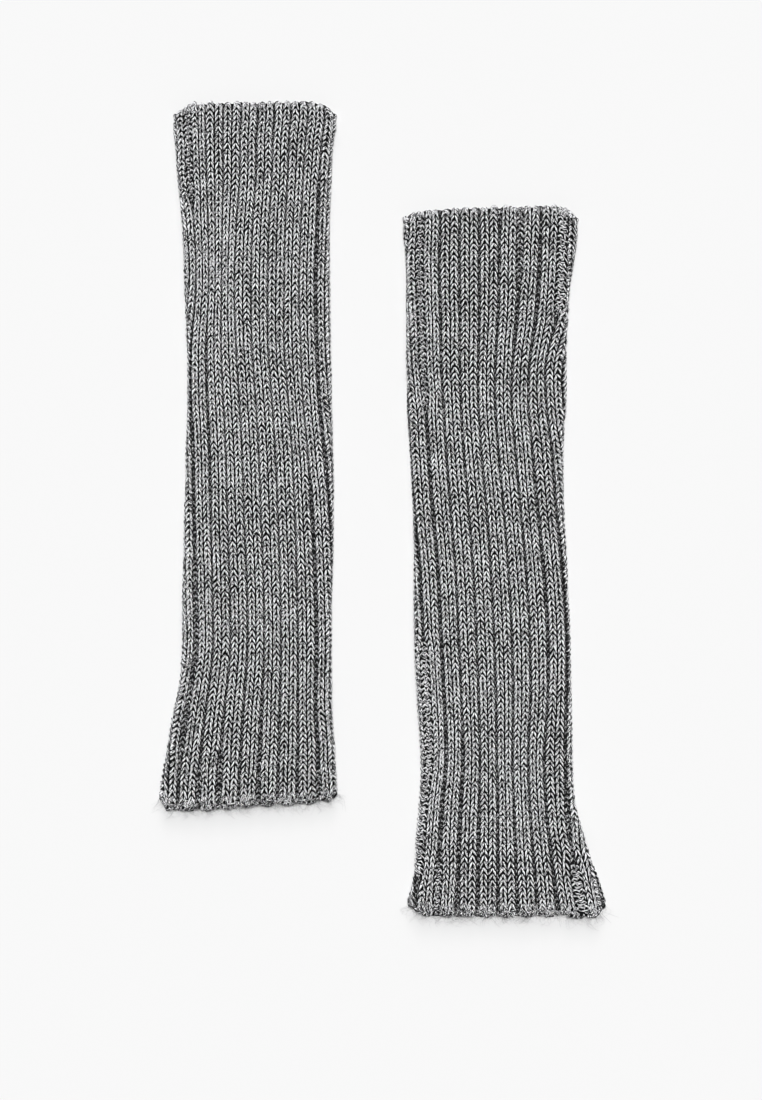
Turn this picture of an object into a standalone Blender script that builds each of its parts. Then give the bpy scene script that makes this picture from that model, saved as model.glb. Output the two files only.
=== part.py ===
"""Pair of long fingerless mittens in two-by-two rib knit, laid flat side by side.

Each mitten is one knitted tube, open at both ends, with a slit in its thumb-side fold.
The finger end lies towards +Y, the arm end towards -Y, and the surface is at z = 0.
Metres, +Z up.
"""

import math
from collections import namedtuple

import bpy
import numpy as np
from mathutils import Vector

MM = 0.001

# The knitted wall. A rib is two knit columns, the groove after it hides two purl columns.
RIB_COUNT = 18              # ribs all round the tube
WALL = 2.2 * MM             # thickness of the knitted wall
RIB_RISE = 0.8 * MM         # crest and groove lie this far above and below the wall's middle
GROOVE_HALF = 0.2           # half a groove's width, in ribs
FOLD_RIB_SHARE = 0.4        # ribs are stretched flatter round the side folds
LAYER_GAP = 0.4 * MM        # clearance between the upper and the lower layer
FOLD_REACH = 2.4 * MM       # how far a fold's half ellipse reaches sideways

# The two ends
LENGTH = 362.0 * MM         # finger end to arm end, along the middle
BAND = 2.6 * MM             # width of the cast-on and bind-off bands
BAND_WALL = 2.6 * MM        # the bands are a little thicker than the wall
END_FADE = 60.0 * MM        # how far the slant of an end carries into the tube

# Worked out from the sizes above
CREST = WALL / 2 + RIB_RISE                     # from the wall's middle to a crest's face
LAYER_HALF = CREST + LAYER_GAP / 2              # from mid height to the middle of a layer
MIDDLE_Z = CREST + LAYER_HALF                   # mid height of the flat tube
FOLD_BULGE = WALL / 2 + FOLD_RIB_SHARE * RIB_RISE
BAND_RISE = CREST - BAND_WALL / 2

# A section of a flat-lying tube, in mm: how far down it is from the finger end, its left and
# right outline, and where the grooves number 1, 4, 7 and 8 cross it on the upper layer. The
# first and last rows are the tube's own ends, 0.4 mm clear of the bands.
Section = namedtuple("Section", "down left right rib_1 rib_4 rib_7 rib_8")

LEFT_SECTIONS = [
    Section(3, -43.5, 39.5, -36.5, -9.0, 16.5, 25.0),
    Section(8, -44.0, 39.5, -36.5, -9.0, 16.5, 25.0),
    Section(18, -43.0, 38.0, -36.0, -9.5, 15.5, 24.0),
    Section(34, -42.0, 37.5, -35.5, -9.5, 15.0, 23.0),
    Section(64, -39.5, 36.5, -33.0, -11.5, 13.5, 21.5),
    Section(92, -38.5, 36.5, -32.0, -12.5, 13.0, 20.5),
    Section(128, -37.0, 37.0, -34.5, -11.5, 13.0, 21.5),
    Section(152, -37.0, 37.5, -34.5, -10.0, 15.0, 22.5),
    Section(180, -37.5, 38.0, -33.5, -8.5, 17.0, 25.0),
    Section(214, -38.5, 38.5, -33.0, -7.5, 18.5, 27.5),
    Section(250, -39.5, 38.0, -32.5, -6.0, 19.5, 29.0),
    Section(284, -40.0, 37.5, -32.5, -6.0, 20.0, 29.5),
    Section(298, -41.0, 38.0, -34.5, -7.0, 20.0, 29.0),
    Section(312, -44.0, 38.0, -37.0, -8.0, 20.0, 29.0),
    Section(330, -47.0, 39.0, -39.5, -9.0, 20.0, 30.0),
    Section(348, -50.0, 40.5, -41.0, -10.0, 19.5, 30.5),
    Section(359, -52.0, 41.0, -41.5, -10.5, 19.5, 31.0),
]

RIGHT_SECTIONS = [
    Section(3, -43.5, 46.0, -34.5, -4.5, 27.0, 38.5),
    Section(10, -43.5, 46.0, -34.5, -4.5, 27.0, 38.5),
    Section(20, -42.5, 45.0, -35.0, -4.5, 26.5, 38.0),
    Section(36, -42.0, 42.5, -35.0, -4.5, 26.0, 36.5),
    Section(60, -42.0, 41.0, -34.0, -4.5, 24.0, 31.5),
    Section(78, -42.0, 40.5, -33.5, -5.0, 21.5, 29.0),
    Section(98, -42.0, 40.5, -32.0, -5.0, 20.5, 29.5),
    Section(124, -40.5, 39.0, -30.5, -3.5, 22.5, 32.5),
    Section(152, -39.0, 39.0, -28.5, -1.0, 25.0, 34.5),
    Section(188, -38.0, 41.0, -25.5, 1.5, 28.5, 38.0),
    Section(220, -38.0, 42.5, -24.0, 3.0, 30.5, 40.0),
    Section(250, -36.5, 43.0, -22.5, 4.0, 30.5, 40.0),
    Section(284, -34.5, 43.5, -21.5, 4.5, 28.5, 39.5),
    Section(306, -35.5, 45.0, -23.5, 5.0, 29.5, 40.5),
    Section(322, -36.5, 49.5, -24.5, 5.0, 31.0, 42.0),
    Section(342, -38.0, 56.0, -25.5, 5.0, 33.5, 45.5),
    Section(359, -41.5, 61.0, -26.5, 5.0, 35.5, 49.0),
]

# The two ends aren't cut square. Across runs from 0 at the left outline to 1 at the right
# one; finger and arm are in mm, downwards from where a square end would lie.
EndShape = namedtuple("EndShape", "across finger arm")

LEFT_ENDS = [
    EndShape(0.00, 5.0, -4.0),
    EndShape(0.04, 3.0, 0.2),
    EndShape(0.10, 1.6, 1.2),
    EndShape(0.30, 1.0, 0.4),
    EndShape(0.50, 0.9, -1.2),
    EndShape(0.75, 0.5, -2.2),
    EndShape(0.88, 1.0, -3.0),
    EndShape(0.96, 2.2, -4.6),
    EndShape(1.00, 4.5, -6.5),
]

RIGHT_ENDS = [
    EndShape(0.00, 6.5, -3.5),
    EndShape(0.04, 4.2, -0.2),
    EndShape(0.10, 3.0, 0.8),
    EndShape(0.25, 1.8, 1.0),
    EndShape(0.50, 1.0, 1.0),
    EndShape(0.80, 0.5, 0.8),
    EndShape(0.88, 0.4, 2.2),
    EndShape(0.96, 1.2, 1.2),
    EndShape(1.00, 4.5, -3.5),
]

# One mitten: where the middle of its finger end lies, its tables, and its thumb slit, which
# opens beside a groove from one section to another, counted from 0.
Mitten = namedtuple("Mitten", "name centre_x finger_y sections ends slit_groove slit_top slit_bottom")

MITTENS = [
    Mitten("left", -63.0 * MM, 209.0 * MM, LEFT_SECTIONS, LEFT_ENDS, 0, 5, 6),
    Mitten("right", 54.0 * MM, 155.5 * MM, RIGHT_SECTIONS, RIGHT_ENDS, 9, 4, 6),
]

# Ribs that pass over a side fold get a loft corner in mid crest too
FOLD_RIBS = (0, 8, 9, 17)

WOOL = (0.20, 0.20, 0.205, 1.0)
BAND_WOOL = (0.16, 0.16, 0.165, 1.0)


def clear_scene():
    for item in list(bpy.data.objects):
        bpy.data.objects.remove(item, do_unlink=True)


def wool(name, colour):
    material = bpy.data.materials.new(name)
    material.use_nodes = True
    shader = material.node_tree.nodes["Principled BSDF"]
    shader.inputs["Base Color"].default_value = colour
    shader.inputs["Roughness"].default_value = 0.9
    shader.inputs["Metallic"].default_value = 0.0
    material.diffuse_color = colour
    return material


def quarter_fold():
    """Length of a quarter of the fold's ellipse."""
    angles = np.linspace(0.0, math.pi / 2, 33)
    across = np.diff(FOLD_REACH * np.cos(angles))
    up = np.diff(LAYER_HALF * np.sin(angles))
    return float(np.hypot(across, up).sum())


QUARTER = quarter_fold()


def loft_corners():
    """Where the loft has its corners, in ribs: each groove, and the edges of each flat crest."""
    corners = []
    for rib in range(RIB_COUNT):
        corners.append(float(rib))
        corners.append(rib + GROOVE_HALF)
        if rib in FOLD_RIBS:
            corners.append(rib + 0.5)
        corners.append(rib + 1 - GROOVE_HALF)
    return corners


class Loop:
    """The wall's middle line at one section: a flat stadium, walked from the left fold's
    outermost point over the upper layer, round the right fold and back under."""

    def __init__(self, sections, down):
        downs = [row.down * MM for row in sections]
        at = {}
        for name in Section._fields[1:]:
            at[name] = float(np.interp(down, downs, [getattr(row, name) * MM for row in sections]))
        self.left = at["left"] + FOLD_BULGE
        self.right = at["right"] - FOLD_BULGE
        self.layer = self.right - self.left - 2 * FOLD_REACH + 2 * QUARTER
        first, fourth, seventh, eighth = (
            self.walk_to(at[name]) for name in ("rib_1", "rib_4", "rib_7", "rib_8")
        )
        left_rib = 1 - first / (fourth - first) * 3
        right_rib = 8 + (self.layer - eighth) / (seventh - fourth) * 3
        self.ribs = [left_rib, 1, 4, 7, 8, right_rib, left_rib + RIB_COUNT]
        self.walks = [0.0, first, fourth, seventh, eighth, self.layer, 2 * self.layer]

    def walk_to(self, x):
        """How far the walk over the upper layer is when it reaches x."""
        from_left = x - self.left
        from_right = self.right - x
        if from_left < FOLD_REACH:
            return math.acos(1 - max(from_left, 0.0) / FOLD_REACH) / (math.pi / 2) * QUARTER
        if from_right < FOLD_REACH:
            turn = math.acos(1 - max(from_right, 0.0) / FOLD_REACH) / (math.pi / 2)
            return self.layer - turn * QUARTER
        return QUARTER + from_left - FOLD_REACH

    def point(self, rib):
        """The middle line at a rib number: x, z, the outward normal, and 1 on a fold's edge
        fading to 0 on the layers."""
        rib = (rib - self.ribs[0]) % RIB_COUNT + self.ribs[0]
        walk = float(np.interp(rib, self.ribs, self.walks))
        under = walk > self.layer
        if under:
            walk = 2 * self.layer - walk
        arc = min(walk, self.layer - walk)
        if arc >= QUARTER:
            x, z = self.left + FOLD_REACH + walk - QUARTER, LAYER_HALF
            normal_x, normal_z, fold = 0.0, 1.0, 0.0
        else:
            side = -1 if walk < QUARTER else 1
            turn = arc / QUARTER * math.pi / 2
            edge = self.left if side < 0 else self.right
            x = edge - side * FOLD_REACH * (1 - math.cos(turn))
            z = LAYER_HALF * math.sin(turn)
            normal_x = side * LAYER_HALF * math.cos(turn)
            normal_z = FOLD_REACH * math.sin(turn)
            fold = math.cos(turn)
        if under:
            z, normal_z = -z, -normal_z
        size = math.hypot(normal_x, normal_z)
        return x, z, normal_x / size, normal_z / size, fold


def rib_wave(rib):
    """Height of the rib pattern: -1 in a groove, 1 on the flat crests."""
    from_groove = abs(rib - round(rib))
    return min(1.0, 2 * from_groove / GROOVE_HALF - 1)


def end_shift(ends, down, across):
    """How far a place is moved down the tube by the slant of the end it is near."""
    steps = [row.across for row in ends]
    finger = float(np.interp(across, steps, [row.finger for row in ends])) * MM
    arm = float(np.interp(across, steps, [row.arm for row in ends])) * MM
    finger_share = max(0.0, 1 - down / END_FADE)
    arm_share = max(0.0, 1 - (LENGTH - down) / END_FADE)
    return finger * finger_share + arm * arm_share


def wall_points(mitten, down, rise, offset):
    """One closed row of the wall's points at a section, offset outwards from its middle line."""
    loop = Loop(mitten.sections, down)
    row = []
    for rib in loft_corners():
        x, z, normal_x, normal_z, fold = loop.point(rib)
        across = (x - loop.left) / (loop.right - loop.left)
        wave = rise * rib_wave(rib) * (1 - (1 - FOLD_RIB_SHARE) * fold)
        out = wave + offset
        row.append((
            mitten.centre_x + x + out * normal_x,
            mitten.finger_y - down - end_shift(mitten.ends, down, across),
            MIDDLE_Z + z + out * normal_z,
        ))
    return row


def wall_solid(name, mitten, downs, wall, rise, material, slit=None):
    """A closed wall lofted round the tube through the given sections.

    Slit is the loft column and the first and last section of an opening in the wall.
    """
    outer = [wall_points(mitten, down, rise, wall / 2) for down in downs]
    inner = [wall_points(mitten, down, rise, -wall / 2) for down in downs]
    columns = len(outer[0])
    points = [point for row in outer + inner for point in row]

    def outer_at(row, step):
        return row * columns + step % columns

    def inner_at(row, step):
        return (len(downs) + row) * columns + step % columns

    def is_open(row, step):
        return slit is not None and step % columns == slit[0] and slit[1] <= row < slit[2]

    faces = []
    for row in range(len(downs) - 1):
        for step in range(columns):
            if is_open(row, step):
                continue
            faces.append((outer_at(row, step), outer_at(row + 1, step),
                          outer_at(row + 1, step + 1), outer_at(row, step + 1)))
            faces.append((inner_at(row, step), inner_at(row, step + 1),
                          inner_at(row + 1, step + 1), inner_at(row + 1, step)))
            if row == 0 or is_open(row - 1, step):
                faces.append((outer_at(row, step), outer_at(row, step + 1),
                              inner_at(row, step + 1), inner_at(row, step)))
            if row == len(downs) - 2 or is_open(row + 1, step):
                faces.append((outer_at(row + 1, step), inner_at(row + 1, step),
                              inner_at(row + 1, step + 1), outer_at(row + 1, step + 1)))
            if is_open(row, step - 1):
                faces.append((outer_at(row, step), inner_at(row, step),
                              inner_at(row + 1, step), outer_at(row + 1, step)))
            if is_open(row, step + 1):
                faces.append((outer_at(row, step + 1), outer_at(row + 1, step + 1),
                              inner_at(row + 1, step + 1), inner_at(row, step + 1)))

    used = sorted({corner for face in faces for corner in face})
    place = {corner: number for number, corner in enumerate(used)}
    mesh = bpy.data.meshes.new(name)
    mesh.from_pydata(
        [points[corner] for corner in used], [], [[place[corner] for corner in face] for face in faces]
    )
    mesh.materials.append(material)
    mesh.update()
    item = bpy.data.objects.new(name, mesh)
    bpy.context.scene.collection.objects.link(item)
    return item


def tube(mitten, material):
    """The knitted tube between its two end bands, with the thumb slit."""
    downs = [row.down * MM for row in mitten.sections]
    groove_column = loft_corners().index(float(mitten.slit_groove))
    slit = (groove_column, mitten.slit_top, mitten.slit_bottom)
    return wall_solid(mitten.name + "_tube", mitten, downs, WALL, RIB_RISE, material, slit)


def bands(mitten, material):
    """The cast-on band at the finger end and the bind-off band at the arm end."""
    made = []
    for end, first in (("finger", 0.0), ("arm", LENGTH - BAND)):
        downs = [first, first + BAND]
        name = f"{mitten.name}_{end}_band"
        made.append(wall_solid(name, mitten, downs, BAND_WALL, BAND_RISE, material))
    return made


def centre_pair(pieces):
    """Put the origin in the middle of the pair's underside."""
    places = [vertex.co for piece in pieces for vertex in piece.data.vertices]
    xs = [place.x for place in places]
    ys = [place.y for place in places]
    shift = Vector(((min(xs) + max(xs)) / 2, (min(ys) + max(ys)) / 2, 0.0))
    for piece in pieces:
        piece.location -= shift


def main():
    clear_scene()
    wool_material = wool("rib_knit_wool", WOOL)
    band_material = wool("band_wool", BAND_WOOL)
    pieces = []
    for mitten in MITTENS:
        pieces.append(tube(mitten, wool_material))
        pieces.extend(bands(mitten, band_material))
    centre_pair(pieces)


main()
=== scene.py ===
"""Looks of a pair of long fingerless mittens in two-by-two rib knit, laid flat side by side.

Every stitch that shows is modelled: the two legs of each knit stitch on the ribs, the bumps of
the purl stitches in the grooves between them, the cast-on loops at the finger ends and the
bind-off chain at the flared arm ends. They lie on a thin ribbed sheet, the wall of the tube.
Metres, +Z up, finger ends towards +Y.
"""

import math
from collections import namedtuple

import bpy
import numpy as np
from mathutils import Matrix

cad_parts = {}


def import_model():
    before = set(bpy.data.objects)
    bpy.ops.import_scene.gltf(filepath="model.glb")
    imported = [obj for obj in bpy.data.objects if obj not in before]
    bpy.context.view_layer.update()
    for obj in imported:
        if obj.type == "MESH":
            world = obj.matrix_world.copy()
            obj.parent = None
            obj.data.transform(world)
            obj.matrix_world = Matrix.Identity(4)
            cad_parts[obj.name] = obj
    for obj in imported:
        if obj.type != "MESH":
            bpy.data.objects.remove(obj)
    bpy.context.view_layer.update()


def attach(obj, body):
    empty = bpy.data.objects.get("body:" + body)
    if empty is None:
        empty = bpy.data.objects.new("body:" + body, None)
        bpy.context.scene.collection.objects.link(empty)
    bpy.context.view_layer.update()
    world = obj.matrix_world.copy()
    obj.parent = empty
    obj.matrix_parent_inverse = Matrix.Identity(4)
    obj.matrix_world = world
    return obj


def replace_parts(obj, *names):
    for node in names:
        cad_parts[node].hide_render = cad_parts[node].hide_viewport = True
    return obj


MM = 0.001


def table(row_type, rows):
    """Rows with named columns, from plain ones."""
    return [row_type(*row) for row in rows]


# ---- sizes

RIB_COUNT = 18  # ribs all round a tube: two knit columns and two purl columns
LENGTH = 362.0 * MM  # finger end to arm end, along the middle
ROW = 2.9 * MM  # height of a knitted row
FIRST_ROW = 3.4 * MM  # middle of the first row under the cast-on edge
LAST_ROW = 356.6 * MM  # middle of the last row above the bind-off edge
END_FADE = 60.0 * MM  # how far the slant of an end carries into the tube
RIB_END_BULGE = 0.6 * MM  # how far the arm end of a rib hangs past the edge's line
RIB_END_REACH = 14.0 * MM  # and how far that carries into the tube

# The flat tube, seen end on: two layers joined by two rounded folds
CREST = 1.9 * MM  # from the wall's middle to the face of a rib
LAYER_HALF = 2.1 * MM  # from mid height to the middle of a layer
MIDDLE_Z = CREST + LAYER_HALF  # mid height of the flat tube
FOLD_REACH = 2.4 * MM  # how far a fold's half ellipse reaches sideways
FOLD_BULGE = 1.42 * MM  # from the middle of the wall to the outline at a fold
FOLD_SPREAD = 2.2  # how far round a fold is felt, in quarters of its ellipse
FOLD_DROP = 0.4 * MM  # how much lower the stitches lie at a fold
FOLD_OPENING = 0.12  # how much further the grooves open there

# The grooves between the ribs
GROOVE_SHUT = 0.022  # half a groove's width in ribs, where it is shut
GROOVE_OPEN = 0.25  # and where it is fully open
GAPE_RAMP = 14.0 * MM  # a gape opens and closes over this length
SLIT_WIDTH = 0.16  # width of the thumb slit, in ribs
SLIT_MARGIN = 8.0 * MM  # the groove beside it is shut this far past its ends

# How far out the middle of the yarn lies from the middle of the wall
KNIT_OUT = 1.15 * MM  # on a rib
PURL_SHUT = -1.8 * MM  # in a shut groove
PURL_OPEN = 1.0 * MM  # in an open one
PURL_LATE = 1.3  # how late it comes up while the groove opens

# How a knit column rounds down to its borders
SHOULDER = 0.55 * MM  # how far from a groove it starts to,
SHOULDER_DROP = 1.8 * MM  # and how deep it has gone at the groove
RIB_DIP_REACH = 0.5 * MM  # the same for the line between a rib's two columns
RIB_DIP = 1.8 * MM
SHOULDER_CURVE = 1.5  # how sharply it goes down at the border
RIB_ROUND = 0.35 * MM  # how much lower a rib's edges lie than its middle,
RIB_ROUND_SLACK = 0.9 * MM  # and how much more in proportion to its groove's opening,
RIB_ROUND_MOST = 0.4  # up to this opening
RIB_CURVE = 2.5  # how late a rib rounds down towards its edges

# A section of a flat-lying tube, in mm: how far down it is from the finger end, its left and
# right outline, and where the grooves number 1, 4, 7 and 8 cross it on the upper layer.
Section = namedtuple("Section", "down left right rib_1 rib_4 rib_7 rib_8")

LEFT_SECTIONS = table(Section, [
    (3, -43.5, 39.5, -36.5, -9.0, 16.5, 25.0),
    (8, -44.0, 39.5, -36.5, -9.0, 16.5, 25.0),
    (18, -43.0, 38.0, -36.0, -9.5, 15.5, 24.0),
    (34, -42.0, 37.5, -35.5, -9.5, 15.0, 23.0),
    (64, -39.5, 36.5, -33.0, -11.5, 13.5, 21.5),
    (92, -38.5, 36.5, -32.0, -12.5, 13.0, 20.5),
    (128, -37.0, 37.0, -34.5, -11.5, 13.0, 21.5),
    (152, -37.0, 37.5, -34.5, -10.0, 15.0, 22.5),
    (180, -37.5, 38.0, -33.5, -8.5, 17.0, 25.0),
    (214, -38.5, 38.5, -33.0, -7.5, 18.5, 27.5),
    (250, -39.5, 38.0, -32.5, -6.0, 19.5, 29.0),
    (284, -40.0, 37.5, -32.5, -6.0, 20.0, 29.5),
    (298, -41.0, 38.0, -34.5, -7.0, 20.0, 29.0),
    (312, -44.0, 38.0, -37.0, -8.0, 20.0, 29.0),
    (330, -47.0, 39.0, -39.5, -9.0, 20.0, 30.0),
    (348, -50.0, 40.5, -41.0, -10.0, 19.5, 30.5),
    (359, -52.0, 41.0, -41.5, -10.5, 19.5, 31.0),
])

RIGHT_SECTIONS = table(Section, [
    (3, -43.5, 46.0, -34.5, -4.5, 27.0, 38.5),
    (10, -43.5, 46.0, -34.5, -4.5, 27.0, 38.5),
    (20, -42.5, 45.0, -35.0, -4.5, 26.5, 38.0),
    (36, -42.0, 42.5, -35.0, -4.5, 26.0, 37.4),
    (50, -42.0, 41.5, -34.5, -4.5, 25.0, 36.6),
    (60, -42.0, 41.0, -34.0, -4.5, 24.0, 34.4),
    (69, -42.0, 40.6, -33.8, -4.8, 22.6, 32.0),
    (78, -42.0, 40.5, -33.5, -5.0, 21.5, 29.8),
    (98, -42.0, 40.5, -32.0, -5.0, 20.5, 29.5),
    (124, -40.5, 39.0, -30.5, -3.5, 22.5, 32.5),
    (152, -39.0, 39.0, -28.5, -1.0, 25.0, 34.5),
    (188, -38.0, 41.0, -25.5, 1.5, 28.5, 38.0),
    (220, -38.0, 42.5, -24.0, 3.0, 30.5, 40.0),
    (250, -36.5, 43.0, -22.5, 4.0, 30.5, 40.0),
    (284, -34.5, 43.5, -21.5, 4.5, 28.5, 39.5),
    (306, -35.5, 45.0, -23.5, 5.0, 29.5, 40.5),
    (322, -36.5, 49.5, -24.5, 5.0, 31.0, 42.0),
    (342, -38.0, 56.0, -25.5, 5.0, 33.5, 45.5),
    (359, -41.5, 61.0, -26.5, 5.0, 35.5, 49.0),
])

# The two ends aren't cut square. Across runs from 0 at the left outline to 1 at the right
# one; finger and arm are in mm, downwards from where a square end would lie.
EndShape = namedtuple("EndShape", "across finger arm")

LEFT_ENDS = table(EndShape, [
    (0.00, 5.8, -4.2),
    (0.04, 3.2, 0.0),
    (0.10, 0.8, 0.8),
    (0.30, 0.3, 0.2),
    (0.50, 0.2, -1.4),
    (0.75, -0.2, -2.4),
    (0.88, 0.2, -3.2),
    (0.96, 2.0, -4.8),
    (1.00, 6.0, -6.7),
])

RIGHT_ENDS = table(EndShape, [
    (0.00, 5.4, -3.8),
    (0.04, 3.2, 0.0),
    (0.10, 2.2, 1.0),
    (0.25, 0.9, 1.2),
    (0.50, 0.2, 1.2),
    (0.80, -0.4, 1.0),
    (0.88, -0.4, 2.4),
    (0.96, 1.3, 1.4),
    (1.00, 6.0, -3.3),
])

# How far all grooves stand open, from 0 to 1, at a distance in mm down the tube
Slack = namedtuple("Slack", "down opening")

LEFT_SLACK = table(Slack, [(0, 0.0), (220, 0.01), (290, 0.07), (330, 0.14), (362, 0.19)])
RIGHT_SLACK = table(Slack, [(0, 0.11), (60, 0.09), (240, 0.09), (300, 0.13), (362, 0.2)])

# Where a groove stands further open than the rest, in mm down the tube. A little darkens its
# line; from about 0.4 its purl stitches show.
Gape = namedtuple("Gape", "groove start end opening")

LEFT_GAPES = table(Gape, [
    (0, 170, 300, 0.50),
    (1, -20, 58, 0.85),
    (1, 150, 240, 0.25),
    (1, 225, 342, 0.50),
    (2, 110, 215, 0.18),
    (2, 335, 380, 0.45),
    (3, 325, 380, 0.55),
    (4, 345, 380, 0.30),
    (5, -20, 45, 0.12),
    (5, 295, 350, 0.28),
    (5, 335, 380, 0.45),
    (6, -20, 30, 0.10),
    (7, 345, 380, 0.30),
    (8, 185, 355, 0.28),
    (8, 335, 380, 0.50),
    (9, 30, 200, 0.30),
])

RIGHT_GAPES = table(Gape, [
    (0, 215, 352, 1.00),
    (1, -20, 110, 0.80),
    (1, 100, 270, 0.25),
    (1, 250, 380, 0.30),
    (1, 322, 380, 0.80),
    (2, -20, 130, 0.12),
    (2, 262, 350, 0.28),
    (2, 335, 380, 0.45),
    (3, -20, 150, 0.10),
    (3, 300, 380, 0.25),
    (4, 345, 380, 0.30),
    (5, -20, 20, 0.30),
    (5, 0, 150, 0.12),
    (5, 350, 380, 0.30),
    (6, -20, 48, 0.62),
    (6, 20, 80, 0.25),
    (7, -20, 100, 0.14),
    (7, 10, 70, 0.26),
    (7, 125, 250, 0.22),
    (7, 340, 380, 0.35),
    (8, -20, 62, 0.95),
    (8, 290, 330, 0.45),
    (8, 326, 380, 1.10),
])

# One mitten: its nodes' first name, the middle of its finger end, its tables, its thumb slit,
# beside a groove between two distances down the tube, and the seed of its unevenness
Mitten = namedtuple(
    "Mitten", "name centre_x finger_y sections ends slack gapes slit_groove slit_from slit_to seed"
)

MITTENS = [
    Mitten("left", -63.18 * MM, 209.08 * MM, LEFT_SECTIONS, LEFT_ENDS, LEFT_SLACK, LEFT_GAPES,
           0, 92 * MM, 128 * MM, 11),
    Mitten("right", 53.82 * MM, 155.58 * MM, RIGHT_SECTIONS, RIGHT_ENDS, RIGHT_SLACK,
           RIGHT_GAPES, 9, 60 * MM, 98 * MM, 23),
]


# ---- the form of a tube

GRID = 0.5 * MM  # spacing of the sections that are worked out ahead,
GRID_MARGIN = 10.0 * MM  # and how far past the tube's ends they go


def ease(share):
    """From 0 to 1, slow at both ends, while share goes from 0 to 1."""
    share = np.clip(share, 0, 1)
    return share * share * (3 - 2 * share)


def smooth_read(at, steps, values):
    """A table read between its rows along a smooth curve."""
    steps = np.asarray(steps, float)
    values = np.asarray(values, float)
    slopes = np.gradient(values, steps)
    at = np.clip(at, steps[0], steps[-1])
    row = np.clip(np.searchsorted(steps, at) - 1, 0, len(steps) - 2)
    width = steps[row + 1] - steps[row]
    t = (at - steps[row]) / width
    return (
        (1 + 2 * t) * (1 - t) ** 2 * values[row]
        + t * (1 - t) ** 2 * width * slopes[row]
        + t * t * (3 - 2 * t) * values[row + 1]
        + t * t * (t - 1) * width * slopes[row + 1]
    )


def quarter_fold():
    """Length of a quarter of the fold's ellipse."""
    angles = np.linspace(0.0, math.pi / 2, 33)
    across = np.diff(FOLD_REACH * np.cos(angles))
    up = np.diff(LAYER_HALF * np.sin(angles))
    return float(np.hypot(across, up).sum())


QUARTER = quarter_fold()


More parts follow.
